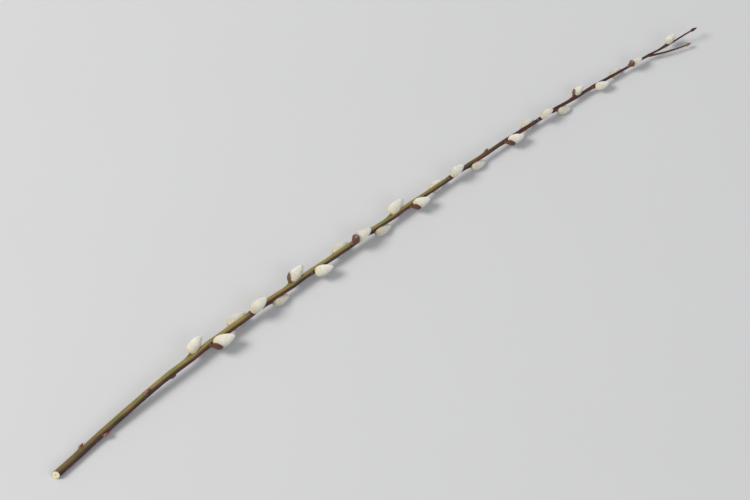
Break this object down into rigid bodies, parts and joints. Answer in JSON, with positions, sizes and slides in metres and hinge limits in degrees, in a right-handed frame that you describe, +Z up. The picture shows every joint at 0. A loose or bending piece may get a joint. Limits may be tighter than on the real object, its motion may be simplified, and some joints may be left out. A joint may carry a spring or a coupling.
{
  "type": "willow branch",
  "caption": "Cut willow branch with silky silver-white catkins seated along a slender bark-covered rod, lying on its side.",
  "frame": {"origin": "on the surface that the branch lies on, under the middle of its bounding box", "axes": "+X along the branch from the cut end to the tip, +Z up from the surface, the branch bows towards +Y"},
  "size_m": [0.7202, 0.037, 0.0201],
  "materials": {
    "bark": "smooth dark maroon-brown bark, semi-gloss, olive to golden on one side, pale at the slanting cut end",
    "catkin_silk": "dense silky hair, silver-white with a warm beige foot"
  },
  "bodies": {
    "root": {"branch_rod": "bark", "catkin_01": "catkin_silk", "catkin_02": "catkin_silk", "catkin_03": "catkin_silk", "catkin_04": "catkin_silk", "catkin_05": "catkin_silk", "catkin_06": "catkin_silk", "catkin_07": "catkin_silk", "catkin_08": "catkin_silk", "catkin_09": "catkin_silk", "catkin_10": "catkin_silk", "catkin_11": "catkin_silk", "catkin_12": "catkin_silk", "catkin_13": "catkin_silk", "catkin_14": "catkin_silk", "catkin_15": "catkin_silk", "catkin_16": "catkin_silk", "catkin_17": "catkin_silk", "catkin_18": "catkin_silk", "catkin_19": "catkin_silk", "catkin_20": "catkin_silk", "catkin_21": "catkin_silk", "catkin_22": "catkin_silk", "catkin_23": "catkin_silk", "catkin_24": "catkin_silk"}
  },
  "joints": []
}
